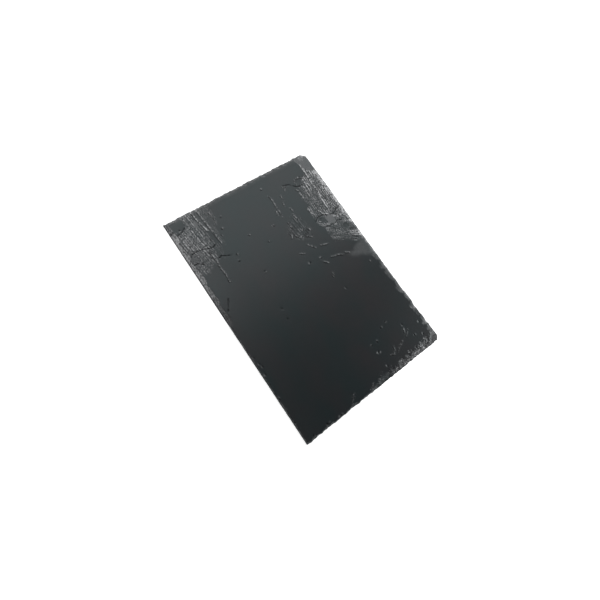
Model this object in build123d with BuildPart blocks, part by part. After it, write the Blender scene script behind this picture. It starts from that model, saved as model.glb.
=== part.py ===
"""Slate roof tile: one plate of natural slate, split to thickness, with edges dressed by chipping.

Frame: X across the slope, Y up the slope from tail to head, Z up.
The origin is on the underside, at the middle of the tile.
"""

import os

from build123d import *

# Driving dimensions, in millimetres
length = 320.0  # tail to head
width = 220.0  # left edge to right edge
thickness = 5.0  # of the plate as split

# Dressed edge: a bevel on the weather face, made of chips struck side by side
edge_lip = 0.6  # height of the square edge left under the bevel
chip_pitch = 7.0  # distance between blows along an edge
chip_depth = 0.6  # depth of a chip below the ridges beside it

# How far the bevel comes in over the weather face
head_reach = 5.0
right_reach = 4.5
tail_reach = 2.5
crumbled_reach = 7.0  # where the right part of the tail has crumbled
crumbled_length = 112.0  # from the right edge
left_reach = 4.5
squared_reach = 1.5  # where the lower part of the left edge is almost square
squared_length = 170.0  # from the tail

# Right-hand corners, each knocked off with a wider flake
head_corner_across = 5.0
head_corner_along = 5.0
head_flake_reach = 13.0
tail_corner_across = 3.0
tail_corner_along = 3.5
tail_flake_reach = 9.0

# How much one blow differs from the next, as shares of half the pitch, the reach and the depth
pitch_scatter = 0.5
reach_scatter = 0.3
depth_scatter = 0.4
golden_share = 0.618034  # spreads values evenly without repeating them

left, right = -width / 2, width / 2
tail, head = -length / 2, length / 2
bevel_drop = Vector(0, 0, edge_lip - thickness)
# A chip is a round trough: its arc spans one pitch and is one chip deep
chip_radius = (chip_pitch**2 / 4 + chip_depth**2) / (2 * chip_depth)

# Points of the outline, counterclockwise from the tail's left corner, each with the reach of
# the dressing along the stretch of edge that starts there
outline = [
    ((left, tail), tail_reach),
    ((right - crumbled_length, tail), crumbled_reach),
    ((right - tail_corner_across, tail), tail_flake_reach),
    ((right, tail + tail_corner_along), right_reach),
    ((right, head - head_corner_along), head_flake_reach),
    ((right - head_corner_across, head), head_reach),
    ((left, head), left_reach),
    ((left, tail + squared_length), squared_reach),
]
points = [point for point, reach in outline]

# A trough runs both ways from the edge, twice as far as the longest slope could
trough_length = 4 * (thickness + max(reach for point, reach in outline))


def scatter(number, share):
    """A factor near 1 that differs from one whole number to the next by up to the share."""
    return 1 + share * (2 * (number * golden_share % 1) - 1)


def chip_planes(start, end, reach, first_blow):
    """Planes on the chips' axes along one stretch of edge, Z running down each chip."""
    edge = Vector(*end) - Vector(*start)
    along = edge.normalized()
    outward = along.cross(Vector(0, 0, 1))
    blows = max(1, round(edge.length / chip_pitch))
    planes = []
    for blow in range(blows):
        number = first_blow + blow
        share = (blow + scatter(number, pitch_scatter) / 2) / blows
        struck = Vector(*start) + edge * share + Vector(0, 0, edge_lip)
        blow_reach = reach * scatter(2 * number + 1, reach_scatter)
        blow_depth = chip_depth * scatter(3 * number + 2, depth_scatter)
        down_chip = (outward * blow_reach + bevel_drop).normalized()
        off_chip = down_chip.cross(along)
        axis_point = struck + off_chip * (chip_radius - blow_depth)
        planes.append(Plane(axis_point, x_dir=along, z_dir=down_chip))
    return planes


def dressing_planes():
    """The chips of every stretch in turn, numbered on from one to the next."""
    planes = []
    for (start, reach), end in zip(outline, points[1:] + points[:1]):
        planes += chip_planes(start, end, reach, len(planes))
    return planes


# The tile: the split plate, then the dressing of its edges
with BuildPart() as slate_tile:
    with BuildSketch():
        with BuildLine():
            Polyline(*points, close=True)
        make_face()
    extrude(amount=thickness)
    with Locations(*dressing_planes()):
        Cylinder(chip_radius, trough_length, mode=Mode.SUBTRACT)
slate_tile.part.label = "slate_tile"

os.makedirs("parts", exist_ok=True)
export_step(slate_tile.part, "parts/slate_tile.step")
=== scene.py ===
"""Slate roof tile: a riven plate of natural slate with chipped edges, on a plain white studio floor."""

import math
from collections import namedtuple
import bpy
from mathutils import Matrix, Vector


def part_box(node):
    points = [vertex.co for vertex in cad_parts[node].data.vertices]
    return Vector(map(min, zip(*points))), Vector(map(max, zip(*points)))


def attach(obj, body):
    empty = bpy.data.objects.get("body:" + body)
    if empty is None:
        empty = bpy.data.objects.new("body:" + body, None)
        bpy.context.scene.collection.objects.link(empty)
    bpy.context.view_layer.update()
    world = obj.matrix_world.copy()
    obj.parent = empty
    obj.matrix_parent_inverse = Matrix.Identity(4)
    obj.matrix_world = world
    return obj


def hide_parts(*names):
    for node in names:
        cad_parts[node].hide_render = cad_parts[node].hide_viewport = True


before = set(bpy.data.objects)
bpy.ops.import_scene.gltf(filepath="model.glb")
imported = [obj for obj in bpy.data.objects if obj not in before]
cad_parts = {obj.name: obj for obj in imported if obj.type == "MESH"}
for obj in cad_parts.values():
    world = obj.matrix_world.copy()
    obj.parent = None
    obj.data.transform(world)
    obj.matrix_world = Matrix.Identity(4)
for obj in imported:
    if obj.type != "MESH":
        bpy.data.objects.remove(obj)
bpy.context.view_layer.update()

from types import SimpleNamespace

import bpy
import numpy as np
from bpy.props import FloatProperty, FloatVectorProperty, PointerProperty
from bpy.types import NodeSocket, Operator, Panel, PropertyGroup
from mathutils import Matrix, Quaternion, Vector

bl_info = {
    "name": "Riven slate roof tile",
    "version": (1, 0, 0),
    "blender": (4, 5, 0),
    "location": "3D View > Sidebar > Slate",
    "description": "Builds a riven slate roof tile with dressed edges, and a studio to show it in",
    "category": "Add Mesh",
}

MM = 0.001  # metres in a millimetre
NODE = "slate_tile"
BODY = "root"

# Places on the weather face are in millimetres: across from the left edge, down from the head.
# Noise is read at places divided by its pitch, and each noise has a seed of its own.

# Patches with a relief of their own, as outlines
GROOVED_PATCH = (
    (-9.5, -7), (59, -7), (61, 16), (58, 32), (51, 37.5), (50, 59.5), (41, 63.5), (39, 73.5), (32.5, 79),
    (19.5, 81), (11.5, 82), (-9.5, 84),
)
TORN_PATCH = (
    (200.5, 16), (200.5, 30), (193, 33), (185, 42.5), (176, 50.5), (175, 65.5), (179, 71.5),
    (172, 76.5), (172, 100), (175, 106), (178, 112), (177, 120), (178, 135), (186, 138),
    (195.5, 140.5), (203.5, 148.5), (226.5, 156.5), (226.5, 16),
)
CRUMPLED_PATCH = (
    (129.5, 91), (136.5, 81.5), (148, 73.5), (156, 79.5), (160, 105), (156, 114), (148, 113),
    (138.5, 107), (129.5, 102),
)
CRUMBLED_TAIL = (
    (97.5, 320), (105.5, 312), (111.5, 315), (124.5, 307), (120.5, 313), (133.5, 311), (148, 313),
    (156, 307), (163, 311), (170, 307), (180, 310), (188, 310), (197.5, 307), (207.5, 311),
    (211.5, 305), (226.5, 303), (226.5, 328), (97.5, 328),
)

# Smooth flats left where a sheet has come away: outline, depth below the face, paleness and how
# soft the outline is
Flat = namedtuple("Flat", "outline drop pale soft")
FLATS = (
    Flat(((5.5, 5), (21.5, 5), (22.5, 17), (15.5, 22), (8.5, 23), (6.5, 16)), 0.25, 0.0, 0.5),
    Flat(((31.5, 26), (33.5, 17), (36, 15), (36, 24), (33.5, 28)), 0.05, 0.2, 0.5),
    Flat(((41, 36.5), (47, 36.5), (47.5, 56), (42, 57)), 0.05, 0.0, 0.8),
    Flat(((50, 20), (55, 18), (57, 30), (53, 35.5), (49, 32)), 0.02, 0.03, 2.0),
    Flat(((186, 99), (197.5, 98), (198.5, 111), (193, 112), (187, 109)), 0.7, 0.20, 0.5),
    Flat(((178, 96), (186, 97), (186, 104), (179, 105)), 0.5, 0.03, 0.5),
    Flat(((201.5, 120), (209.5, 121), (208.5, 128), (202.5, 127)), 0.9, 0.03, 0.5),
    Flat(((181, 33), (188, 32), (189, 38.5), (182, 39.5)), 0.1, 0.0, 0.5),
    # This flat's paleness is a painted highlight on a smooth facet
    Flat(
        (
            (184, 158.5), (194, 157.5), (203.5, 152.5), (226.5, 146.5), (226.5, 180.5),
            (209.5, 174.5), (188, 163.5),
        ),
        0.2, 0.08, 4.0,
    ),
    Flat(
        ((197.5, -7), (200.5, 7), (201.5, 15), (203.5, 22), (209.5, 28), (226.5, 37.5), (226.5, -7)),
        0.5, 0.17, 0.6,
    ),
    Flat(((208.5, 328), (209.5, 313), (213.5, 308), (226.5, 305), (226.5, 328)), 0.4, 0.16, 2.0),
)

# Cracks, raised edges of thin sheets, frayed edges and fainter worn ones, as lines
CRACKS = (
    ((7.5, 23), (12.5, 23), (16.5, 21), (20.5, 18)),
    ((7.5, 56.5), (10.5, 53.5), (16.5, 53.5), (24.5, 54.5), (29.5, 56.5), (35.5, 58.5), (41, 57.5)),
    ((4.5, 67.5), (9.5, 67.5), (13.5, 70.5), (15.5, 72.5)),
    ((35.5, 74.5), (40, 73.5), (44, 76.5), (50, 79.5), (53, 78.5)),
    ((7.5, 140), (12.5, 133), (17.5, 125)),
    ((163, 31), (170, 33), (174, 36.5), (178, 40.5), (182, 42.5), (188, 42.5)),
    ((172, 98), (178, 94), (185, 94), (194, 98), (200.5, 100), (211.5, 95)),
    ((187, 112), (194, 113), (200.5, 111), (205.5, 114)),
    ((174, 108), (181, 111), (186, 113)),
    ((203.5, 140.5), (209.5, 145.5), (214.5, 147.5)),
)
# A ridge's paleness is partly fresh stone and partly a painted highlight on its crest
Ridge = namedtuple("Ridge", "pale points")
RIDGES = (
    Ridge(0.75, ((38, 2), (38.5, 14), (40, 24), (43, 35.5))),
    Ridge(0.30, ((45, 3), (46, 17), (47, 31), (48, 46), (49.5, 59.5))),
    Ridge(0.70, ((203, 15), (202.5, 32), (201.5, 46.5), (202, 61.5))),
    Ridge(1.00, ((202, 60), (201, 69.5))),
    Ridge(0.55, ((200, 72.5), (198.5, 90.5))),
    Ridge(0.45, ((188, 45.5), (187, 61.5))),
    Ridge(0.45, ((195, 43.5), (196.5, 51.5))),
    Ridge(0.45, ((176, 44.5), (178, 47.5))),
    Ridge(0.50, ((177.5, 51.5), (178, 61.5))),
    Ridge(0.40, ((173, 77.5), (175, 84.5), (177, 91))),
    Ridge(0.50, ((185, 85.5), (188, 93), (194, 97))),
    Ridge(0.45, ((132.5, 96), (130.5, 101))),
    Ridge(0.40, ((158, 129), (164, 131), (168, 132))),
    Ridge(0.40, ((148, 149.5), (153, 154.5))),
    Ridge(0.40, ((161, 149.5), (166, 151.5), (169, 151.5), (173, 153.5), (177, 155.5))),
    Ridge(0.40, ((181, 154.5), (186, 157.5))),
)
FRAYED_EDGES = (
    ((137.5, 34.5), (138.5, 43.5), (137.5, 51.5), (137.5, 61.5), (136.5, 68.5)),
    ((152, 41.5), (152, 47.5)),
    ((148, 56.5), (149, 51.5)),
    ((153, 63.5), (154, 69.5)),
    ((151, 72.5), (153, 83.5)),
    ((138.5, 79.5), (138.5, 87)),
    ((136.5, 100), (140.5, 106)),
    ((150, 109), (155, 113)),
    ((162, 32), (165, 34.5), (161, 38.5)),
    ((181, 38.5), (180, 34), (183, 31), (189, 31), (195.5, 34.5)),
)
WORN_EDGES = (
    ((30.5, 61.5), (30.5, 86.5), (31.5, 97), (30.5, 108)),
    ((57, 14), (58, 26), (56, 32)),
    ((134.5, 57.5), (132.5, 63.5)),
    ((143, 119), (150, 128)),
    ((127.5, 124), (133.5, 128)),
    ((147, 172.5), (150, 167.5)),
    ((188, 284.5), (181, 290.5)),
    ((184, 280.5), (182, 285.5)),
    ((159, 299), (163, 296.5), (170, 293.5), (173, 292.5)),
    ((148, 297.5), (153, 299), (156, 295.5), (158, 290.5)),
    ((124.5, 307), (117.5, 312)),
    ((106.5, 311), (102.5, 317)),
    ((79, 307), (74, 311), (69, 317)),
)

# Small crumbs, each with a pit beside it: place and brightness. A crumb's brightness is partly fresh
# stone and partly a painted highlight, and its pit gets painted shade.
SPECKS = (
    (13, 20, 0.9), (37.5, 49, 0.8), (55, 51, 0.6), (61, 42.5, 0.5), (67, 27, 0.3), (58, 82.5, 0.4),
    (55, 90, 0.3), (85, 67.5, 1.3), (118.5, 72.5, 1.3), (102.5, 89, 0.5), (75, 121, 0.4),
    (65, 172.5, 0.2), (63, 184.5, 0.25), (134.5, 20, 0.7), (189, 31, 0.8), (149, 98, 0.8),
    (143, 105, 0.7), (158, 103, 0.8), (129.5, 141.5, 0.6), (147, 142.5, 0.9), (203.5, 183.5, 0.6),
    (150, 195, 0.5), (160, 262.5, 0.5), (169, 260.5, 0.5), (133.5, 272.5, 0.5), (144, 272.5, 0.6),
    (134.5, 285.5, 0.8), (138.5, 286.5, 0.5), (184, 276.5, 0.4), (206.5, 284.5, 0.5),
    (193, 295.5, 0.3), (201.5, 300, 0.6), (134.5, 304, 0.4), (2.5, 203, 0.3), (3.5, 212, 0.3),
    (2.5, 226, 0.5), (5, 217, 0.3), (2, 236, 0.25), (2.5, 257, 0.3), (2.5, 273, 0.25), (2, 292, 0.25),
    (13, 316, 0.3), (31, 316, 0.4), (36, 314.5, 0.3), (49, 316.5, 0.4), (54, 316, 0.3),
)

# How pale a patch is all over and on its crests, and how dark its hollows are. The crests' paleness is
# partly fresh stone and partly painted highlights, and the hollows' darkness is painted shade.
Look = namedtuple("Look", "base crest hollow")
GROOVED = Look(0.14, 0.45, 0.45)
TORN = Look(0.07, 0.42, 0.6)
TORN_BY_EDGE = Look(0.16, 0.80, 0.9)
CRUMPLED = Look(0.01, 0.22, 0.8)
CRUMBLED_PALENESS = (0.11, 0.52)  # at the left end of the crumbled tail and at its right end
# Painted shade in the hollows of the crumbled tail
CRUMBLED_SHADE = 0.8

# Paleness of the torn patch and of the left and right bevels, by distance down from the head
LEFT_PALENESS = (
    (0, 0.25), (18, 0.4), (24, 1.2), (36, 1.2), (46, 0.75), (62, 0.65), (68, 0.8), (95, 0.65),
    (140, 0.2), (160, 0.045),
)
TORN_PALENESS = ((0, 0.6), (20, 0.75), (60, 1.05), (100, 0.9), (140, 0.5))
RIGHT_PALENESS = (
    (0, 0.5), (16, 0.1), (110, 0.1), (140, 0.4), (160, 0.5), (180, 0.4), (236, 0.3), (243, 1.2),
    (253, 1.2), (257, 0.2), (262, 0.2), (265, 1.2), (268, 1.2), (272, 0.1), (284, 0.1), (288, 1.2),
    (292, 1.0), (296, 0.3), (301, 0.7), (306, 0.4),
)
RIGHT_INNER = ((90, 0.8), (150, 0.6), (180, 0.25), (240, 0.2))  # share of it at the bevel's inner end

# How much of the right bevel's outer end is broken off square, and how deep that edge is worn
RIGHT_SQUARE = ((60, 1.4), (95, 0.6), (130, 0.1), (170, -0.1), (190, -0.25), (230, -0.25), (250, 0.8))
RIGHT_WEAR = ((120, 0.4), (170, 1.3), (230, 1.9), (250, 2.6), (290, 2.6), (312, 0.6))


def length(name, description, millimetres):
    """A length property whose default is given in millimetres."""
    default = millimetres * MM
    return FloatProperty(name=name, description=description, default=default, min=0, unit="LENGTH")


def share(name, description, default):
    """A property from 0 to 1."""
    return FloatProperty(
        name=name, description=description, default=default, min=0, max=1, subtype="FACTOR"
    )


def colour(name, description, default):
    """A colour property, in linear red, green and blue."""
    return FloatVectorProperty(
        name=name, description=description, default=default, size=3, min=0, max=1, subtype="COLOR"
    )


def power(name, description, default):
    """A lamp's power property, in watts."""
    return FloatProperty(name=name, description=description, default=default, min=0, unit="POWER")


def turn(name, description, degrees):
    """An angle property whose default is given in degrees."""
    default = math.radians(degrees)
    return FloatProperty(name=name, description=description, default=default, subtype="ANGLE")


class SlateSizes(PropertyGroup):
    """Sizes of the tile's dressing and of the relief on its faces."""

    edge_lip: length("Edge lip", "Height of the square edge left under the bevel", 0.6)
    chip_pitch: length("Chip pitch", "Distance between blows along an edge", 7.0)
    chip_depth: length("Chip depth", "Depth of a chip below the ridges beside it", 0.6)
    head_reach: length("Head reach", "How far the head's bevel comes in over the face", 5.0)
    right_reach: length("Right reach", "How far the right edge's rounded bevel comes in", 8.0)
    tail_reach: length("Tail reach", "How far the tail's bevel comes in", 2.5)
    crumbled_reach: length("Crumbled reach", "How far it comes in where the tail has crumbled", 7.0)
    crumbled_length: length("Crumbled length", "Crumbled length of the tail, from the right edge", 112.0)
    left_reach: length("Left reach", "How far the left edge's bevel comes in", 5.8)
    squared_reach: length("Squared reach", "How far it comes in where the edge is almost square", 1.5)
    squared_length: length("Squared length", "Almost square length of that edge, from the tail", 170.0)
    head_corner_across: length("Head corner across", "Width knocked off the head's right corner", 5.0)
    head_corner_along: length("Head corner along", "Length knocked off the head's right corner", 5.0)
    head_flake_reach: length("Head flake reach", "How far that corner's flake comes in", 13.0)
    tail_corner_across: length("Tail corner across", "Width knocked off the tail's right corner", 3.0)
    tail_corner_along: length("Tail corner along", "Length knocked off the tail's right corner", 3.5)
    tail_flake_reach: length("Tail flake reach", "How far that corner's flake comes in", 9.0)
    headroom: length("Headroom", "Depth of the general face below the highest ridges", 0.4)
    swell: length("Swell", "Height of the broad waves of the split face", 0.1)
    groove_depth: length("Groove depth", "Depth of the grooves near the head's left corner", 0.1)
    torn_depth: length("Torn depth", "Depth of the torn patch at its lowest", 1.0)
    crumb_depth: length("Crumb depth", "Depth of the crumbled tail below the face", 0.6)
    crack_depth: length("Crack depth", "Depth of a crack", 0.5)
    ridge_height: length("Ridge height", "Height of a sheet's raised edge", 0.3)
    speck_height: length("Speck height", "Height of a crumb and depth of its pit", 0.4)
    back_hollow: length("Back hollow", "Depth of the hollows in the underside", 0.3)


class SlateFinish(PropertyGroup):
    """Colours and gloss of the stone."""

    face_colour: colour("Face", "Oiled, riven face", (0.0050, 0.0098, 0.0112))
    drift_colour: colour("Drifts", "Warmer drifts in the face", (0.0110, 0.0092, 0.0108))
    # Also the colour of the painted highlights on crests, ridges and crumbs
    pale_colour: colour("Fresh stone", "Chips and torn edges", (0.537, 0.540, 0.550))
    # Colour of all painted shade: cracks, hollows, pits, the feet of edges and the rim
    painted_shade_colour: colour("Cracks", "Cracks and hollows", (0.002, 0.002, 0.002))
    sheen_tint: colour("Sheen tint", "Tint of the face's gloss", (0.885, 0.985, 1.0))
    face_roughness: share("Face roughness", "Roughness of the riven face", 0.36)
    pale_roughness: share("Fresh roughness", "Roughness of chips and torn edges", 0.60)


class StudioSettings(PropertyGroup):
    """The floor, the light and the camera."""

    floor_colour: colour("Floor", "Colour of the studio floor", (0.8, 0.8, 0.8))
    floor_glow: share("Floor glow", "Light added to the floor where the camera sees it", 0.72)
    sky_strength: FloatProperty(name="Sky", description="Strength of the even light", default=0.15)
    canopy_power: power("Canopy", "Power of the wide panel over the head", 10.7)
    side_power: power("Side light", "Power of the panel to the right", 14.0)
    lens: FloatProperty(name="Lens", description="Focal length in millimetres", default=24.0)
    camera_distance: length("Camera distance", "From the point that the camera looks at", 525.6)
    camera_azimuth: turn("Azimuth", "Camera's turn about the vertical", -67.83)
    camera_elevation: turn("Elevation", "Camera's height as an angle", 69.59)
    camera_roll: turn("Roll", "Camera's turn about its line of sight", 33.9)


def in_millimetres(sizes):
    """The lengths of a property group, in millimetres."""
    return SimpleNamespace(**{name: getattr(sizes, name) / MM for name in sizes.__annotations__})


def step(low, high, value):
    """0 at low, 1 at high, a smooth S between them and no change beyond; low may be the larger."""
    part = np.clip((value - low) / (high - low), 0, 1)
    return part * part * (3 - 2 * part)


def mix(first, second, part):
    """The first value where the part is 0, the second where it is 1, and even steps between."""
    return first + (second - first) * part


def down_edge(value, down):
    """A value along an edge: the same all over, or values at distances down from the head."""
    if isinstance(value, tuple):
        stops, levels = zip(*value)
        return np.interp(down, stops, levels)
    return np.full(down.shape, value)


LATTICE = 256  # points each way before lattice noise repeats


def lattice_noise(u, v, seed):
    """Random values from -1 to 1 on whole-number points, joined by smooth steps."""
    values = np.random.default_rng(seed).uniform(-1, 1, (LATTICE, LATTICE))
    i, j = np.floor(u).astype(int), np.floor(v).astype(int)
    a, b = step(0, 1, u - i), step(0, 1, v - j)
    i0, i1, j0, j1 = i % LATTICE, (i + 1) % LATTICE, j % LATTICE, (j + 1) % LATTICE
    near = mix(values[i0, j0], values[i1, j0], a)
    far = mix(values[i0, j1], values[i1, j1], a)
    return mix(near, far, b)


def fractal(u, v, seed, octaves=3):
    """Lattice noise summed over octaves, each twice as fine and half as high as the last."""
    return sum(lattice_noise(u * 2**n, v * 2**n, seed + n) / 2**n for n in range(octaves))


def terraces(field, rise, softness):
    """A field cut into level treads one rise apart, with the last share of each tread sloping up."""
    level = field / rise
    tread = np.floor(level)
    return (tread + step(1 - softness, 1, level - tread)) * rise


def line_distance(across, down, points):
    """Distance from a line through the points: the least distance from any of its straight runs."""
    nearest = np.full(across.shape, np.inf)
    for (a0, d0), (a1, d1) in zip(points[:-1], points[1:]):
        run_a, run_d = a1 - a0, d1 - d0
        part = ((across - a0) * run_a + (down - d0) * run_d) / (run_a**2 + run_d**2)
        part = np.clip(part, 0, 1)
        nearest = np.minimum(nearest, np.hypot(across - a0 - part * run_a, down - d0 - part * run_d))
    return nearest


def depth_inside(across, down, outline):
    """Distance inside a closed outline, negative outside: a ray along the rows counts crossings."""
    closed = outline + outline[:1]
    inside = np.zeros(across.shape, bool)
    for (a0, d0), (a1, d1) in zip(closed[:-1], closed[1:]):
        if d0 != d1:
            crossing = a0 + (down - d0) * (a1 - a0) / (d1 - d0)
            inside ^= ((d0 > down) != (d1 > down)) & (across < crossing)
    return np.where(inside, 1, -1) * line_distance(across, down, closed)


def bell(distance, width):
    """1 at no distance, falling off as a bell curve of the given half width."""
    return np.exp(-((distance / width) ** 2))


JAG = 4  # pitch of the noise that makes the outlines of patches ragged


def new_face(across, down):
    """A face at rest: its places and ragged copies of them, with no relief or marks yet.

    Its marks are shares: pale where the stone is freshly broken and speckled, partly as painted
    highlights on crests, even where it is pale without speckles, dark for painted shade in cracks and
    hollows, and matt where the edges were dressed.
    """
    zero = np.zeros(across.shape)
    return SimpleNamespace(
        across=across,
        down=down,
        jag_across=across + fractal(across / JAG, down / JAG, 11),
        jag_down=down + fractal(across / JAG, down / JAG, 23),
        height=zero.copy(),
        pale=zero.copy(),
        even=zero.copy(),
        dark=zero.copy(),
        matt=zero.copy(),
    )


BEAD = 1.3  # from a crest of grit to the next hollow
LINE = 1.45  # from a line of hatching to the next hollow
WANDER = 7  # pitch of the noise that moves the rows of grit aside


def grit(face, seed):
    """Beads as close as the stone's grain, high and low by turns, from -1 to 1.

    They are the product of two cosine waves, one across the tile and one down it. Slower noise moves
    the waves aside, so that their rows wander.
    """
    aside = 2 * lattice_noise(face.across / WANDER, face.down / WANDER, seed)
    along = 2 * lattice_noise(face.across / WANDER, face.down / WANDER, seed + 1)
    columns = np.cos(math.pi * (face.across / BEAD + aside))
    return columns * np.cos(math.pi * (face.down / BEAD + along))


def hatching(face, seed, lean):
    """Fine lines down the tile, which lean to the right by a share, crossed by bars.

    The lines and the bars are cosine waves as close as the stone's grain. Slow noise moves them aside,
    and quicker noise fades them in and out. The sum is between about -1.5 and 1.5.
    """
    leaning = face.across - lean * face.down
    aside = 1.2 * lattice_noise(leaning / 9, face.down / 40, seed)
    lines = np.cos(math.pi * (leaning / LINE + aside))
    lines *= step(-0.8, 0.4, lattice_noise(leaning / 3, face.down / 16, seed + 1))
    along = 1.5 * lattice_noise(face.across / 12, face.down / 8, seed + 2)
    bars = np.cos(math.pi * (face.down / BEAD + along))
    bars *= step(-0.3, 0.9, lattice_noise(face.across / 4, face.down / 5, seed + 3))
    return lines + 0.5 * bars


def groove(face, mm):
    """Cut the fine grooves near the head's left corner.

    The grooves are hatching, and each ends at its own place. The crests are paler than the face, partly
    as painted highlights, and the hollows are darker with painted shade. Both fade down the tile, to the
    right and close to the left edge.
    """
    ends = lattice_noise(face.across / 2.4, face.down / 70, 31)
    inside = depth_inside(face.jag_across, face.jag_down, GROOVED_PATCH) + 5 * ends
    mask = step(-3, 3, inside)
    grooves = hatching(face, 32, 0.1) + 0.3 * fractal(face.across / 6, face.down / 14, 37, 2)
    strength = mask * mix(1, 0.55, step(48, 62, face.down)) * mix(1, 0.4, step(28, 42, face.across))
    strength *= mix(0.5, 1, step(6, 12, face.across))
    face.height += mask * mm.groove_depth * grooves
    face.pale += strength * (GROOVED.base + GROOVED.crest * step(0.1, 1.2, grooves))
    face.dark += strength * GROOVED.hollow * step(0.2, 1.2, -grooves)


TORN_REACH = 40  # distance inside the torn patch at which it is as deep as it gets
SLANT_ACROSS, SLANT_DOWN = 0.83, 0.56  # direction of the tear lower down
STREAK_HEIGHT = 0.08


def tear(face, mm):
    """Tear sheets away along the right edge.

    The torn patch goes down towards the edge in terraces: the distance inside the patch plus noise
    drawn out along the tear, which runs down the tile at first and slants across it lower down.
    Finer noise and grit streak the treads: crests are pale, partly as painted highlights, the paler the
    nearer they are to the edge, and hollows get painted shade. A band of fresh stone runs beside the
    edge, fainter lower down, with painted highlights on its streaks.
    """
    inside = depth_inside(face.jag_across, face.jag_down, TORN_PATCH)
    mask = step(-0.6, 0.6, inside)
    slant_along = SLANT_ACROSS * face.across + SLANT_DOWN * face.down
    slant_across = SLANT_ACROSS * face.down - SLANT_DOWN * face.across
    slanted = step(86, 102, face.jag_down)
    straight_slabs = fractal(face.across / 5, face.down / 20, 51)
    slant_slabs = fractal(slant_across / 5, slant_along / 16, 54)
    slabs = mix(straight_slabs, slant_slabs, slanted)
    slant_drift = 1.5 * lattice_noise(slant_across / 8, slant_along / 25, 59)
    slant_lines = np.cos(math.pi * (slant_across / LINE + slant_drift))
    slant_lines *= step(-0.2, 0.9, lattice_noise(slant_across / 3.5, slant_along / 12, 61))
    slant_lines += 0.4 * grit(face, 60)
    streaks = mix(hatching(face, 62, -0.05), slant_lines, slanted) + mix(0.6, 0.9, slanted) * slabs
    steps = terraces(np.clip(inside, 0, TORN_REACH) / TORN_REACH + 0.45 * slabs, 0.25, 0.3)
    face.height -= mask * (mm.torn_depth * (0.25 + 0.75 * steps) - STREAK_HEIGHT * streaks)

    nearer = step(180, 212, face.across)
    from_edge = mm.width - face.across
    beside_edge = step(8.5, 4, from_edge) * mix(0.7, 1, step(1.5, 3.2, from_edge))
    fresh = mix(0.85, 0.42, step(85, 105, face.down)) * beside_edge
    fresh *= 0.3 + 1.6 * step(-0.6, 0.9, streaks)
    base = mix(TORN.base, TORN_BY_EDGE.base, nearer)
    crest = mix(TORN.crest, TORN_BY_EDGE.crest, nearer)
    hollow = mix(TORN.hollow, TORN_BY_EDGE.hollow, beside_edge)
    level = mask * down_edge(TORN_PALENESS, face.down)
    face.pale += level * (base + crest * step(0.1, 1.3, streaks) + fresh)
    face.dark += mask * hollow * step(0.2, 1.2, -streaks)


RUFFLE_HEIGHT = 0.14


def crumple(face):
    """Ruffle the patch right of the middle with hatching, grit and noise drawn out down the tile. Its
    crests are pale, partly as painted highlights, and its hollows get painted shade.
    """
    mask = step(-3, 3, depth_inside(face.jag_across, face.jag_down, CRUMPLED_PATCH))
    ruffles = 0.7 * fractal(face.across / 3, face.down / 6, 71, 2)
    ruffles += 0.6 * hatching(face, 73, 0.1)
    ruffles += 0.6 * grit(face, 77)
    face.height += mask * RUFFLE_HEIGHT * ruffles
    face.pale += mask * (CRUMPLED.base + CRUMPLED.crest * step(0.3, 1.3, ruffles))
    face.dark += mask * CRUMPLED.hollow * step(0.3, 1.3, -ruffles)


def crumble(face, mm):
    """Break the right part of the tail into crumbs: terraces of fine noise, going down to the edge. The
    crumbs are pale, partly as painted highlights, and their hollows get painted shade.
    """
    fringe = 3.0 * lattice_noise(face.across / 2.2, face.down / 2.2, 81)
    inside = depth_inside(face.jag_across, face.jag_down, CRUMBLED_TAIL) + fringe
    mask = step(-0.6, 0.6, inside)
    crumbs = 0.6 * fractal(face.across / 2.5, face.down / 2.5, 82, 2) + grit(face, 84)
    steps = terraces(0.6 * crumbs + inside / 12, 0.25, 0.3)
    face.height -= mask * mm.crumb_depth * (0.2 + 0.6 * steps)
    clumps = 0.5 + 0.9 * step(-0.4, 0.4, lattice_noise(face.across / 9, face.down / 6, 86))
    level = mix(*CRUMBLED_PALENESS, step(110, 190, face.across))
    level *= mix(1.2, 0.75, step(5, 11, mm.length - face.down))
    face.pale += mask * level * clumps * step(0.0, 0.8, crumbs)
    face.dark += mask * CRUMBLED_SHADE * step(0.1, 0.8, -crumbs)


FLAT_SPECKLED = 0.15  # share of a flat's paleness that is speckled


def lift_flats(face):
    """Smooth out the flats: inside each outline the relief gives way to one even depth."""
    for flat in FLATS:
        inside = depth_inside(face.jag_across, face.jag_down, flat.outline)
        mask = step(-flat.soft, flat.soft, inside)
        face.height = mix(face.height, -flat.drop, mask)
        face.even = mix(face.even, (1 - FLAT_SPECKLED) * flat.pale, mask)
        face.pale = mix(face.pale, FLAT_SPECKLED * flat.pale, mask)
        face.dark *= 1 - mask


FURROW = 0.6  # half width of a crack, of a frayed edge and of the painted shadow line at an edge's foot
RIDGE = 0.65  # half width of a raised edge
FRAYED_BAND = 1.8  # half width of the bits beside a frayed edge


def marking(face):
    """What the marks share: places moved aside by fine noise, noise that breaks lines up, and a fading of
    pale marks towards the tail.

    Towards the tail the pale marks are fainter.
    """
    return SimpleNamespace(
        across=face.across + 0.3 * fractal(face.across / 2, face.down / 2, 91, 2),
        down=face.down + 0.3 * fractal(face.across / 2, face.down / 2, 93, 2),
        breaks=lattice_noise(face.across / 2.4, face.down / 2.8, 95),
        bits=grit(face, 96),
        fade_to_tail=mix(1, 0.5, step(95, 150, face.down)),
    )


def shadow_line(at, points):
    """A bell-shaped line of painted shadow to the left of an edge's crest, at its foot."""
    return bell(line_distance(at.across + 1.5, at.down - 0.6, points), FURROW)


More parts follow.
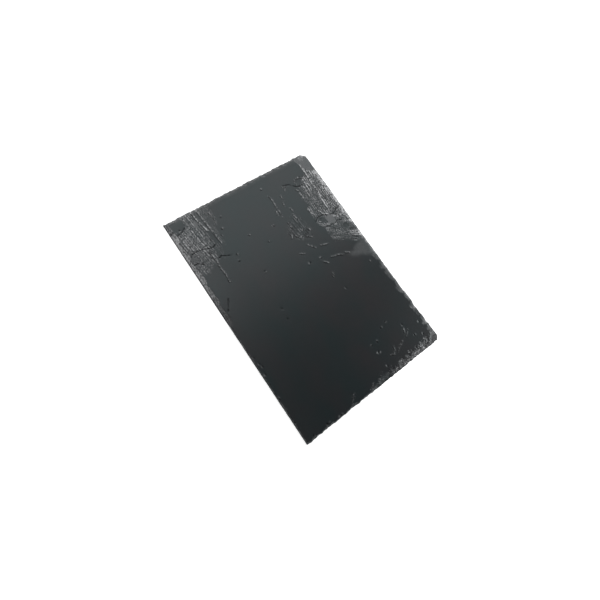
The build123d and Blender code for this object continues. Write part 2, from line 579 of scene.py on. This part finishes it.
def crack(face, at, mm):
    """Cut bell-shaped furrows along the cracks, darkened by painted shade, each with a broken line of
    painted highlight along the lip below it.
    """
    for points in CRACKS:
        furrow = bell(line_distance(at.across, at.down, points), FURROW)
        furrow *= step(-1.0, -0.1, at.breaks + 0.4 * at.bits)
        lip = bell(line_distance(at.across, at.down - 1.5, points), FURROW) * step(0, 0.6, at.breaks)
        face.height -= mm.crack_depth * furrow
        face.pale = face.pale * (1 - furrow) + 0.15 * at.fade_to_tail * lip
        face.dark += 0.9 * furrow


def raise_edges(face, at, mm):
    """Raise bell-shaped ridges along the edges of sheets, pale on the crest partly as a painted
    highlight, each with a painted shadow line at its foot.
    """
    for pale, points in RIDGES:
        ridge = bell(line_distance(at.across, at.down, points), RIDGE) * step(-1.6, -0.6, at.breaks)
        shade = shadow_line(at, points) * step(-0.9, 0.0, at.breaks)
        face.height += mm.ridge_height * ridge
        face.pale += pale * at.fade_to_tail * ridge
        face.dark = face.dark * (1 - ridge) + 0.7 * shade


def fray(face, at, mm):
    """Fray the edges of thin sheets: a low ridge in a band of bits.

    The bits are grit under a wider bell, with painted highlights where they stand up and painted shade
    where they lie low. The low ridge is pale, partly as a painted highlight.
    """
    for lines, strength in ((FRAYED_EDGES, 1.0), (WORN_EDGES, 1.1)):
        for points in lines:
            off = line_distance(at.across, at.down, points)
            lit = bell(off, FURROW) * step(-0.9, -0.1, at.breaks)
            shade = shadow_line(at, points) * step(-0.7, 0.1, at.breaks)
            band = bell(off, FRAYED_BAND)
            face.height += mm.ridge_height * strength * (lit - 0.5 * shade + 0.4 * band * at.bits)
            face.pale += strength * at.fade_to_tail * (0.26 * lit + 0.2 * band * step(0.2, 0.8, at.bits))
            face.dark += strength * (0.6 * shade + 0.6 * band * step(0.2, 0.8, -at.bits))


def strew(face, at, mm):
    """Strew crumbs: oval bumps with a pit beside each, of a size and turn drawn for each. A crumb is
    pale, partly as a painted highlight, and its pit gets painted shade.
    """
    draw = np.random.default_rng(97)
    for speck_across, speck_down, bright in SPECKS:
        size, stretch, tilt = draw.uniform((0.9, 0.7, 0), (1.2, 1.0, 2 * math.pi))
        off_a, off_d = at.across - speck_across, at.down - speck_down
        long = off_a * math.cos(tilt) + off_d * math.sin(tilt)
        short = off_d * math.cos(tilt) - off_a * math.sin(tilt)
        crumb = bell(np.hypot(long, short / stretch), size)
        pit = bell(np.hypot(long, short / stretch - 2.0), size)
        face.height += mm.speck_height * size * (crumb - pit)
        face.pale += 0.6 * bright * at.fade_to_tail * crumb
        face.dark += pit


def riven_face(across, down, mm):
    """The weather face: broad swells, then each patch, flat and mark in turn."""
    face = new_face(across, down)
    face.height += mm.swell * fractal(across / 80, down / 110, 3, 2)
    groove(face, mm)
    tear(face, mm)
    crumple(face)
    crumble(face, mm)
    lift_flats(face)
    at = marking(face)
    for mark in (crack, raise_edges, fray, strew):
        mark(face, at, mm)
    return face


Edge = namedtuple("Edge", "start along inward blows hollow bulge square inner pale")
GOLDEN_SHARE = 0.618034  # spreads values evenly without repeating them
PITCH_SCATTER = 0.5
REACH_SCATTER = 0.3
DEPTH_SCATTER = 0.4
WORN_HOLLOW = 0.35  # share of a chip's hollow left where an edge is worn smooth
SOFTENED_HOLLOW = 0.6  # and where it is a little worn
RIGHT_BULGE = 2.5


def scatter(number, part):
    """A factor near 1 that differs from one whole number to the next by up to the given part."""
    return 1 + part * (2 * (number * GOLDEN_SHARE % 1) - 1)


def dressed_edges(mm):
    """The stretches of edge by name, counterclockwise from the tail, with their blows and finish.

    A stretch's row gives its name, start and reach, and then its finish: the share of a chip's hollow
    that is left, the power that its slope bulges by, how much of its outer end is broken off square,
    the share of its paleness at the inner end, and its paleness.
    """
    wide, long = mm.width, mm.length
    left_finish = (WORN_HOLLOW, 1, 0, 0.8, LEFT_PALENESS)
    right_finish = (SOFTENED_HOLLOW, RIGHT_BULGE, RIGHT_SQUARE, RIGHT_INNER, RIGHT_PALENESS)
    outline = (
        ("tail", (0, long), mm.tail_reach, 1, 1, 0, 0.5, 0.06),
        ("crumbled", (wide - mm.crumbled_length, long), mm.crumbled_reach, 1, 1, 0, 0.5, 0.08),
        ("tail_corner", (wide - mm.tail_corner_across, long), mm.tail_flake_reach, 1, 1.5, 0, 0.3, 0.12),
        ("right", (wide, long - mm.tail_corner_along), mm.right_reach, *right_finish),
        ("head_corner", (wide, mm.head_corner_along), mm.head_flake_reach, 1, 1, 0, 0.5, 0.5),
        ("head", (wide - mm.head_corner_across, 0), mm.head_reach, 1, 1, 0, 0.5, 0.12),
        ("left", (0, 0), mm.left_reach, *left_finish),
        ("squared", (0, long - mm.squared_length), mm.squared_reach, *left_finish),
    )
    edges = {}
    number = 0
    for (name, start, reach, *finish), (_, end, *_) in zip(outline, outline[1:] + outline[:1]):
        start, run = np.array(start, float), np.subtract(end, start)
        span = np.hypot(*run)
        along = run / span
        inward = np.array((along[1], -along[0]))
        count = max(1, round(span / mm.chip_pitch))
        numbers = number + np.arange(count)
        place = span * (np.arange(count) + scatter(numbers, PITCH_SCATTER) / 2) / count
        slope = (mm.thickness - mm.edge_lip) / (reach * scatter(2 * numbers + 1, REACH_SCATTER))
        depth = mm.chip_depth * scatter(3 * numbers + 2, DEPTH_SCATTER)
        edges[name] = Edge(start, along, inward, np.stack((place, slope, depth), 1), *finish)
        number += count
    return edges


def chip_floor(edge, across, down, mm):
    """Height of the lowest chip of a stretch of edge.

    A chip is the lip, plus its slope times the distance in from the edge, plus a round arc across
    the blow, which is set square to the slope. Where the slope bulges, the drop from the face is raised
    to a power, so that it is steep at the rim and levels off inwards. Where the outer end is broken off
    square, the slope starts that far up.
    """
    off_a, off_d = across - edge.start[0], down - edge.start[1]
    along = off_a * edge.along[0] + off_d * edge.along[1]
    inward = off_a * edge.inward[0] + off_d * edge.inward[1] + down_edge(edge.square, down)
    radius = (mm.chip_pitch**2 / 4 + mm.chip_depth**2) / (2 * mm.chip_depth)
    drop = mm.thickness - mm.edge_lip
    floor = np.full(across.shape, np.inf)
    for place, slope, depth in edge.blows:
        aside = np.minimum(np.abs(along - place), radius)
        arc = edge.hollow * (radius - depth - np.sqrt(radius**2 - aside**2))
        rise = slope * inward
        curved = drop * (1 - np.clip(1 - rise / drop, 0, None) ** edge.bulge)
        curved += np.maximum(rise - drop, 0)
        chip = mm.edge_lip + curved + arc * math.hypot(1, slope)
        floor = np.minimum(floor, np.where(np.abs(along - place) < radius, chip, np.inf))
    return floor


FOOT = 0.15  # least height of the rim
ROUNDING = 0.5  # height over which the face and a bevel run into each other


def rounded_lower(first, second):
    """The lower of two heights, with the corner where they meet rounded off."""
    near = np.clip(1 - np.abs(first - second) / ROUNDING, 0, 1)
    return np.minimum(first, second) - near**2 * ROUNDING / 4


def bite(edges, across, down, mm):
    """How far in from each place on a straight side its chips first stand as high as the foot."""
    reach_in = np.linspace(0, 3, 61)
    a = across[:, None] + reach_in * edges[0].inward[0]
    d = down[:, None] + reach_in * edges[0].inward[1]
    floor = np.min([chip_floor(edge, a, d, mm) for edge in edges], axis=0)
    return reach_in[np.argmax(floor >= FOOT, axis=1)]


def ragged(places, pitch, size, seed):
    """How far in a side is worn at each place: smooth noise, from none to the given size."""
    worn = fractal(places / pitch, np.full(places.shape, 0.5), seed, 2)
    return size * (worn - worn.min()) / np.ptp(worn)


def knocked(off, reach, size):
    """Half of a corner's size at the corner, going evenly down to none at its reach."""
    return size / 2 * np.clip(1 - off / reach, 0, 1)


DRAWN_IN = 14  # width of the band beside a side that is drawn in with it


def beside(off):
    """1 at a side, going smoothly down to 0 where the band that is drawn in ends."""
    return 1 - step(0, DRAWN_IN, off)


def draw_in(lines_a, lines_d, edges, mm):
    """The places of the weather face's grid, with its sides drawn in to their worn outline."""
    across, down = np.meshgrid(lines_a, lines_d, indexing="ij")
    zero_a, zero_d = np.zeros_like(lines_a), np.zeros_like(lines_d)
    off_right, off_tail = mm.width - lines_a, mm.length - lines_d
    left = bite((edges["left"], edges["squared"]), zero_d, lines_d, mm)
    left += ragged(lines_d, pitch=5, size=0.15, seed=101)
    right = bite((edges["right"],), zero_d + mm.width, lines_d, mm)
    right += ragged(lines_d, pitch=12, size=1, seed=111) * down_edge(RIGHT_WEAR, lines_d)
    right += knocked(lines_d, mm.head_corner_along, mm.head_corner_across)
    right += knocked(off_tail, mm.tail_corner_along, mm.tail_corner_across)
    head = bite((edges["head"],), lines_a, zero_a, mm)
    head += ragged(lines_a, pitch=3.5, size=1.0, seed=121)
    head += knocked(off_right, mm.head_corner_across, mm.head_corner_along)
    tail = bite((edges["tail"], edges["crumbled"]), lines_a, zero_a + mm.length, mm)
    tail += ragged(lines_a, pitch=3.5, size=1.0, seed=131) * mix(1, 0.3, step(90, 115, lines_a))
    tail += knocked(off_right, mm.tail_corner_across, mm.tail_corner_along)
    moved_a = across + left * beside(across) - right * beside(mm.width - across)
    moved_d = down + head[:, None] * beside(down) - tail[:, None] * beside(mm.length - down)
    return moved_a, moved_d


def graded_lines(span, stretches, multiple):
    """Grid lines over a span, at even steps of the running total of one over the spacing."""
    places = np.linspace(0, span, 4001)
    ends = [end for end, spacing in stretches]
    spacings = np.array([spacing for end, spacing in stretches])
    density = 1 / spacings[np.minimum(np.searchsorted(ends, places), len(ends) - 1)]
    total = np.concatenate(((0,), np.cumsum((density[1:] + density[:-1]) / 2 * np.diff(places))))
    count = multiple * round(total[-1] / multiple)
    return np.interp(np.linspace(0, total[-1], count + 1), total, places)


def rim(grid):
    """The outer ring of a grid of indices, counterclockwise from the head's left corner."""
    return np.concatenate((grid[0, :-1], grid[:-1, -1], grid[-1, :0:-1], grid[:0:-1, 0]))


def cells(grid):
    """The four corners of each cell of a grid of indices, facing up."""
    corners = (grid[:-1, :-1], grid[:-1, 1:], grid[1:, 1:], grid[1:, :-1])
    return np.stack([corner.ravel() for corner in corners], 1)


COARSENING = 4  # grid lines of the weather face to each line of the underside
MARKS = ("pale", "even", "dark", "matt")
CHIP_ROUGHNESS = 0.65
CHIP_TREAD = 0.55  # height of the steps that a chip breaks off in
CHIP_JAG = 0.35  # how far fine noise moves the chips aside, each way
CHIP_GRIT = 0.06  # and how high it roughens them
HEAD_GAIN = 0.065  # paleness that the face gains near the head
LEFT_SHEEN = 0.028  # painted sheen that the face gains near the left edge
SPECKLED = 0.4  # share of a bevel's paleness that is speckled
RIM_SHADE = (0.8, 0.8, 0.4)  # painted shade, in from the rim, line by line


def mark_bevels(face, depth, edges, nearest, jag, mm):
    """Give the bevels the paleness of the edges that they belong to, and the rim a line of painted shade.

    The depth is how far the chips go below the riven face, and nearest says which edge's chip it is.
    A bevel is palest at its outer end, and noise and hatching streak it. Lower down it is matt, and on
    the left and the tail its paleness comes in patches. The face is a little paler near the head, and a
    painted sheen lightens it near the left edge. The lower right bevel gets a little painted shade. The
    rim carries painted shade on its outermost lines, apart from bare pale bits lower down.
    """
    across, down = face.across, face.down
    chipped = step(-0.15, 0.15, depth)
    lower = step(130, 180, down)
    patchy = 1.7 * step(-0.5, 0.6, lattice_noise(across / 30, down / 6, 145))
    inner = np.choose(nearest, [down_edge(edge.inner, down) for edge in edges])
    deeper = mix(inner, 1, step(0.6, 3.0, depth))
    streaked = 1 + 0.4 * jag + 0.35 * hatching(face, 147, 0.0)
    edge_pale = np.choose(nearest, [down_edge(edge.pale, down) for edge in edges])
    edge_pale *= mix(1, patchy, lower * step(205, 190, across))
    edge_pale *= deeper * streaked

    near_head = HEAD_GAIN * step(11, 2, down) * (1 + 0.9 * fractal(across / 6, down / 6, 143))
    # Painted sheen near the left edge
    left_sheen = LEFT_SHEEN * step(45, 0, across) * mix(1, 0.15, step(90, 170, down))
    face.even = mix(face.even + near_head + left_sheen, (1 - SPECKLED) * edge_pale, chipped)
    face.pale += SPECKLED * edge_pale * chipped
    face.matt = CHIP_ROUGHNESS * chipped * lower
    face.dark *= 1 - 0.5 * chipped
    # Painted shade on the lower right bevel, which also takes out some of its gloss
    face.dark += 0.2 * chipped * lower * step(14, 10, mm.width - across)
    bare = lower * np.clip(1.5 * edge_pale, 0, 1)
    # Painted shade on the rim's outermost lines
    for line, dark in reversed(list(enumerate(RIM_SHADE))):
        ring = np.ones(face.dark.shape, bool)
        ring[line + 1:-line - 1, line + 1:-line - 1] = False
        face.dark[ring] = dark * (1 - bare[ring])


def weather_face(mm):
    """Places, heights and marks of the weather face, on a grid.

    The grid's lines close up where the relief is fine. Each height is the lower of the riven face
    and the chips, which are roughened by fine noise and broken into low steps.
    """
    spacing_a = ((6, 0.6), (62, 0.62), (130, 1.4), (mm.width - 6, 0.62), (mm.width, 0.6))
    spacing_d = (
        (6, 0.6), (118, 0.8), (158, 1.0), (256, 2.4), (mm.length - 8, 0.95), (mm.length, 0.6),
    )
    lines_a = graded_lines(mm.width, spacing_a, COARSENING)
    lines_d = graded_lines(mm.length, spacing_d, COARSENING)
    edges = dressed_edges(mm)
    across, down = draw_in(lines_a, lines_d, edges, mm)
    face = riven_face(across, down, mm)
    riven = mm.thickness - mm.headroom + face.height

    jag = fractal(across / 2.5, down / 2.5, 141)
    jag_across, jag_down = across + CHIP_JAG * jag, down - CHIP_JAG * jag
    floors = np.array([chip_floor(edge, jag_across, jag_down, mm) for edge in edges.values()])
    chips = floors.min(axis=0)
    chips = 0.5 * chips + 0.5 * terraces(chips, CHIP_TREAD, 0.4) + CHIP_GRIT * jag
    top = np.clip(rounded_lower(riven, chips), FOOT, mm.thickness)

    mark_bevels(face, riven - chips, edges.values(), floors.argmin(axis=0), jag, mm)
    marks = {name: np.clip(getattr(face, name), 0, 1) for name in MARKS}
    return np.stack((across, down, top), -1), marks


def tile_surface(mm):
    """Points, faces and marks of the whole closed tile.

    A ring of wall faces goes down from the rim of the weather face to the underside: every few lines
    of the same grid, with shallow terraced hollows away from its rim.
    """
    weather, marks = weather_face(mm)
    grid = np.arange(marks["pale"].size).reshape(marks["pale"].shape)

    under = weather[::COARSENING, ::COARSENING].copy()
    across, down = under[..., 0], under[..., 1]
    hollows = terraces(0.5 + 0.5 * fractal(across / 30, down / 45, 151), 0.2, 0.4)
    from_side = np.minimum(np.minimum(across, mm.width - across), np.minimum(down, mm.length - down))
    under[..., 2] = mm.back_hollow * np.clip(hollows, 0, 1) * step(2, 9, from_side)
    under_grid = grid.size + np.arange(across.size).reshape(across.shape)
    # The underside's rim carries the same painted shade as the weather face's rim
    rim_shade = RIM_SHADE[0] * (1 - step(1, 4, from_side))
    none = 0 * hollows
    under_marks = {"pale": 0.05 * hollows, "even": none, "dark": rim_shade, "matt": none}

    # Each wall face takes the rim's points between two points of the underside, and those two
    spans = rim(grid).reshape(-1, COARSENING)
    after = np.roll(spans, -1, axis=0)[:, :1]
    below = rim(under_grid)[:, None]
    wall = np.hstack((spans[:, :1], below, np.roll(below, -1, axis=0), after, spans[:, :0:-1]))

    points = np.vstack((weather.reshape(-1, 3), under.reshape(-1, 3)))
    faces = cells(grid).tolist() + wall.tolist() + cells(under_grid)[:, ::-1].tolist()
    return points, faces, {name: np.append(marks[name], under_marks[name]) for name in MARKS}


def emptied(material):
    """The material's node tree, emptied, and a function that adds a node to it with its inputs."""
    material.use_nodes = True
    tree = material.node_tree
    tree.nodes.clear()

    def add(kind, inputs=None, **settings):
        node = tree.nodes.new(kind)
        for name, value in settings.items():
            setattr(node, name, value)
        sockets = {socket.identifier: socket for socket in node.inputs}
        for name, value in (inputs or {}).items():
            socket = sockets.get(name) or node.inputs[name]
            if isinstance(value, NodeSocket):
                tree.links.new(value, socket)
            else:
                socket.default_value = value
        return node

    return add


def blended(add, part, first, second):
    """A colour between two others, by a part from 0 to 1."""
    inputs = {"Factor_Float": part, "A_Color": first, "B_Color": second}
    node = add("ShaderNodeMix", inputs, data_type="RGBA")
    return next(socket for socket in node.outputs if socket.identifier == "Result_Color")


def ranged(add, value, low, high, start=0.0, end=1.0):
    """A value moved from one range to another, and kept inside it."""
    inputs = {"Value": value, "From Min": start, "From Max": end, "To Min": low, "To Max": high}
    return add("ShaderNodeMapRange", inputs).outputs["Result"]


def noise(add, place, scale, detail):
    """Noise over a place, finer by the scale along each axis."""
    moved = add("ShaderNodeMapping", {"Vector": place, "Scale": scale}).outputs["Vector"]
    return add("ShaderNodeTexNoise", {"Vector": moved, "Scale": 1.0, "Detail": detail}).outputs["Fac"]


def calculated(add, way, first, second):
    """Two values put through a sum, product or like operation."""
    return add("ShaderNodeMath", {"Value": first, "Value_001": second}, operation=way).outputs["Value"]


DULLING = 0.75  # share of the gloss that the darkest painted shade takes away
GRAIN = (720, 360, 720)  # grains to a metre along each axis
DRIFTS = (22, 16, 22)  # drifts of colour to a metre
GRAIN_HEIGHT = 0.06 * MM


def slate_material(finish):
    """Slate: dark and oiled on the riven face, pale and matt where it is freshly broken, with painted
    highlights and painted shade from the marks.
    """
    material = bpy.data.materials.new("riven_slate")
    add = emptied(material)
    place = add("ShaderNodeTexCoord").outputs["Object"]
    pale, even, dark, matt = (
        add("ShaderNodeAttribute", attribute_name=name).outputs["Fac"] for name in MARKS
    )
    grain = noise(add, place, GRAIN, 3.0)
    drifts = ranged(add, noise(add, place, DRIFTS, 3.0), 0, 1, 0.35, 0.65)
    speckle = ranged(add, grain, 0.3, 1.7, 0.43, 0.57)
    # Paleness: fresh stone, painted highlights on crests and crumbs, and a painted sheen near the left
    # edge
    broken = calculated(add, "ADD", calculated(add, "MULTIPLY", pale, speckle), even)
    # Painted shade in small pits of the pale stone
    pitted = ranged(add, pale, 0, 1, 0, 0.3)
    pits = calculated(add, "MULTIPLY", pitted, ranged(add, grain, 0.6, 0, 0.40, 0.47))
    dark = calculated(add, "MAXIMUM", dark, pits)
    stone = blended(add, drifts, (*finish.face_colour, 1), (*finish.drift_colour, 1))
    stone = blended(add, broken, stone, (*finish.pale_colour, 1))
    stone = blended(add, dark, stone, (*finish.painted_shade_colour, 1))
    rough = ranged(add, broken, finish.face_roughness, finish.pale_roughness, 0, 0.25)
    rough = calculated(add, "MAXIMUM", rough, matt)
    # A dark metal reflects less than any stone, so a share of it paints shade into the gloss of cracks,
    # hollows, pits and the rim
    dulled = calculated(add, "MULTIPLY", dark, DULLING)
    bump = add("ShaderNodeBump", {"Strength": 0.6, "Distance": GRAIN_HEIGHT, "Height": grain})
    shader = add(
        "ShaderNodeBsdfPrincipled",
        {
            "Base Color": stone,
            "Roughness": rough,
            "Metallic": dulled,
            "Normal": bump.outputs["Normal"],
            "Specular Tint": (*finish.sheen_tint, 1),
        },
    )
    add("ShaderNodeOutputMaterial", {"Surface": shader.outputs["BSDF"]})
    return material


def floor_material(studio):
    """White floor: matt, with an even glow for what the camera and reflections see."""
    material = bpy.data.materials.new("studio_floor")
    add = emptied(material)
    path = add("ShaderNodeLightPath").outputs
    seen = calculated(add, "MAXIMUM", path["Is Camera Ray"], path["Is Glossy Ray"])
    seen = calculated(add, "MAXIMUM", seen, path["Is Transmission Ray"])
    strength = calculated(add, "MULTIPLY", seen, studio.floor_glow)
    matt = add("ShaderNodeBsdfDiffuse", {"Color": (*studio.floor_colour, 1)}).outputs["BSDF"]
    glow = add("ShaderNodeEmission", {"Strength": strength}).outputs["Emission"]
    both = add("ShaderNodeAddShader", {"Shader": matt, "Shader_001": glow}).outputs["Shader"]
    add("ShaderNodeOutputMaterial", {"Surface": both})
    return material


def new_object(name, points, faces, material):
    """A smooth mesh object at the origin."""
    mesh = bpy.data.meshes.new(name)
    mesh.from_pydata(points, [], faces)
    mesh.materials.append(material)
    mesh.shade_smooth()
    if mesh.validate():
        raise ValueError(f"{name} has faulty faces")
    obj = bpy.data.objects.new(name, mesh)
    bpy.context.scene.collection.objects.link(obj)
    return obj


SHARP_ANGLE = math.radians(40)  # faces that meet at more than this keep a sharp edge


class SLATE_OT_tile(Operator):
    """Build the slate tile over its plain solid."""

    bl_idname = "slate.tile"
    bl_label = "Slate tile"

    def execute(self, context):
        low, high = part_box(NODE)
        mm = in_millimetres(context.scene.slate_sizes)
        mm.width, mm.length, mm.thickness = (high - low) / MM
        points, faces, marks = tile_surface(mm)
        places = np.stack(
            (low.x + points[:, 0] * MM, high.y - points[:, 1] * MM, low.z + points[:, 2] * MM), 1
        )
        tile = new_object("riven_slate", places, faces, slate_material(context.scene.slate_finish))
        for name, values in marks.items():
            tile.data.attributes.new(name, "FLOAT", "POINT").data.foreach_set("value", values)
        tile.data.set_sharp_from_angle(angle=SHARP_ANGLE)
        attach(tile, BODY)
        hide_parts(NODE)
        return {"FINISHED"}


# The studio floor: a bowl, as radii and heights in metres, and the points in each ring
FLOOR_PROFILE = ((0.5, 0.0), (2.0, 0.0), (2.6, 0.1), (2.9, 0.4), (3.0, 0.8), (3.0, 1.6))
FLOOR_POINTS = 96

# Light panels: direction from the tile, distance and sizes in metres, and turn in degrees
Lamp = namedtuple("Lamp", "direction distance wide high turn")
CANOPY = Lamp((0.25, 0.55, 0.80), 1.3, 1.7, 1.11, 28)
SIDE_LIGHT = Lamp((0.80, -0.38, 0.46), 1.5, 0.5, 0.5, 0)

# The point that the camera looks at, in metres, and the frame's shift in shares of its width
CAMERA_AIM = (0.0162, 0.0096, 0.0)
CAMERA_SHIFT = (-0.0175, -0.0480)


def studio_floor(studio):
    """The floor: its profile carried round in rings, closed by a face in the middle."""
    around = np.linspace(0, 2 * math.pi, FLOOR_POINTS, endpoint=False)
    radius, height = np.array(FLOOR_PROFILE).T[:, :, None]
    rings = np.stack((radius * np.cos(around), radius * np.sin(around), height + 0 * around), -1)
    index = np.arange(radius.size * FLOOR_POINTS).reshape(radius.size, FLOOR_POINTS)
    index = np.hstack((index, index[:, :1]))
    faces = cells(index)[:, ::-1].tolist() + [index[0, :-1].tolist()]
    return new_object("studio_floor", rings.reshape(-1, 3), faces, floor_material(studio))


def light_panel(name, lamp, watts):
    """A rectangular light that faces the tile."""
    light = bpy.data.lights.new(name, "AREA")
    light.shape = "RECTANGLE"
    light.size, light.size_y = lamp.wide, lamp.high
    light.energy = watts
    panel = bpy.data.objects.new(name, light)
    panel.location = Vector(lamp.direction).normalized() * lamp.distance
    facing = panel.location.to_track_quat("Z", "Y")
    panel.rotation_euler = (facing @ Quaternion((0, 0, 1), math.radians(lamp.turn))).to_euler()
    bpy.context.scene.collection.objects.link(panel)


def camera(studio):
    """The camera: turned about the vertical, raised, then rolled about its line of sight."""
    azimuth, elevation = studio.camera_azimuth, studio.camera_elevation
    level = Vector((math.cos(azimuth), math.sin(azimuth), 0))
    outward = Vector((math.sin(azimuth), -math.cos(azimuth), 0))
    back = outward * math.cos(elevation) + Vector((0, 0, math.sin(elevation)))
    upright = back.cross(level)
    right = level * math.cos(studio.camera_roll) + upright * math.sin(studio.camera_roll)
    up = upright * math.cos(studio.camera_roll) - level * math.sin(studio.camera_roll)
    eye = bpy.data.objects.new("camera", bpy.data.cameras.new("camera"))
    eye.data.lens = studio.lens
    eye.data.shift_x, eye.data.shift_y = CAMERA_SHIFT
    eye.data.clip_start = 0.01
    eye.matrix_world = Matrix((right, up, back)).transposed().to_4x4()
    eye.location = Vector(CAMERA_AIM) + back * studio.camera_distance
    bpy.context.scene.collection.objects.link(eye)
    return eye


class SLATE_OT_stage(Operator):
    """Build the white floor, the light and the camera."""

    bl_idname = "slate.stage"
    bl_label = "Studio"

    def execute(self, context):
        studio = context.scene.slate_studio
        studio_floor(studio)
        world = bpy.data.worlds.new("studio_sky")
        world.use_nodes = True
        sky = world.node_tree.nodes["Background"]
        sky.inputs["Color"].default_value = (1, 1, 1, 1)
        sky.inputs["Strength"].default_value = studio.sky_strength
        context.scene.world = world
        light_panel("canopy", CANOPY, studio.canopy_power)
        light_panel("side_light", SIDE_LIGHT, studio.side_power)
        context.scene.camera = camera(studio)
        context.scene.view_settings.view_transform = "Standard"
        return {"FINISHED"}


class SLATE_PT_panel(Panel):
    """Sizes, colours and the buttons that build the tile and its studio."""

    bl_label = "Slate tile"
    bl_idname = "SLATE_PT_panel"
    bl_space_type = "VIEW_3D"
    bl_region_type = "UI"
    bl_category = "Slate"

    def draw(self, context):
        scene = context.scene
        for group in (scene.slate_sizes, scene.slate_finish, scene.slate_studio):
            box = self.layout.box()
            for name in group.__annotations__:
                box.prop(group, name)
        self.layout.operator(SLATE_OT_tile.bl_idname)
        self.layout.operator(SLATE_OT_stage.bl_idname)


CLASSES = (SlateSizes, SlateFinish, StudioSettings, SLATE_OT_tile, SLATE_OT_stage, SLATE_PT_panel)


def register():
    for cls in CLASSES:
        bpy.utils.register_class(cls)
    bpy.types.Scene.slate_sizes = PointerProperty(type=SlateSizes)
    bpy.types.Scene.slate_finish = PointerProperty(type=SlateFinish)
    bpy.types.Scene.slate_studio = PointerProperty(type=StudioSettings)


def unregister():
    del bpy.types.Scene.slate_studio
    del bpy.types.Scene.slate_finish
    del bpy.types.Scene.slate_sizes
    for cls in reversed(CLASSES):
        bpy.utils.unregister_class(cls)


def main():
    """Register the classes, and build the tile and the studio."""
    register()
    bpy.ops.slate.tile()
    bpy.ops.slate.stage()


if __name__ == "__main__":
    main()
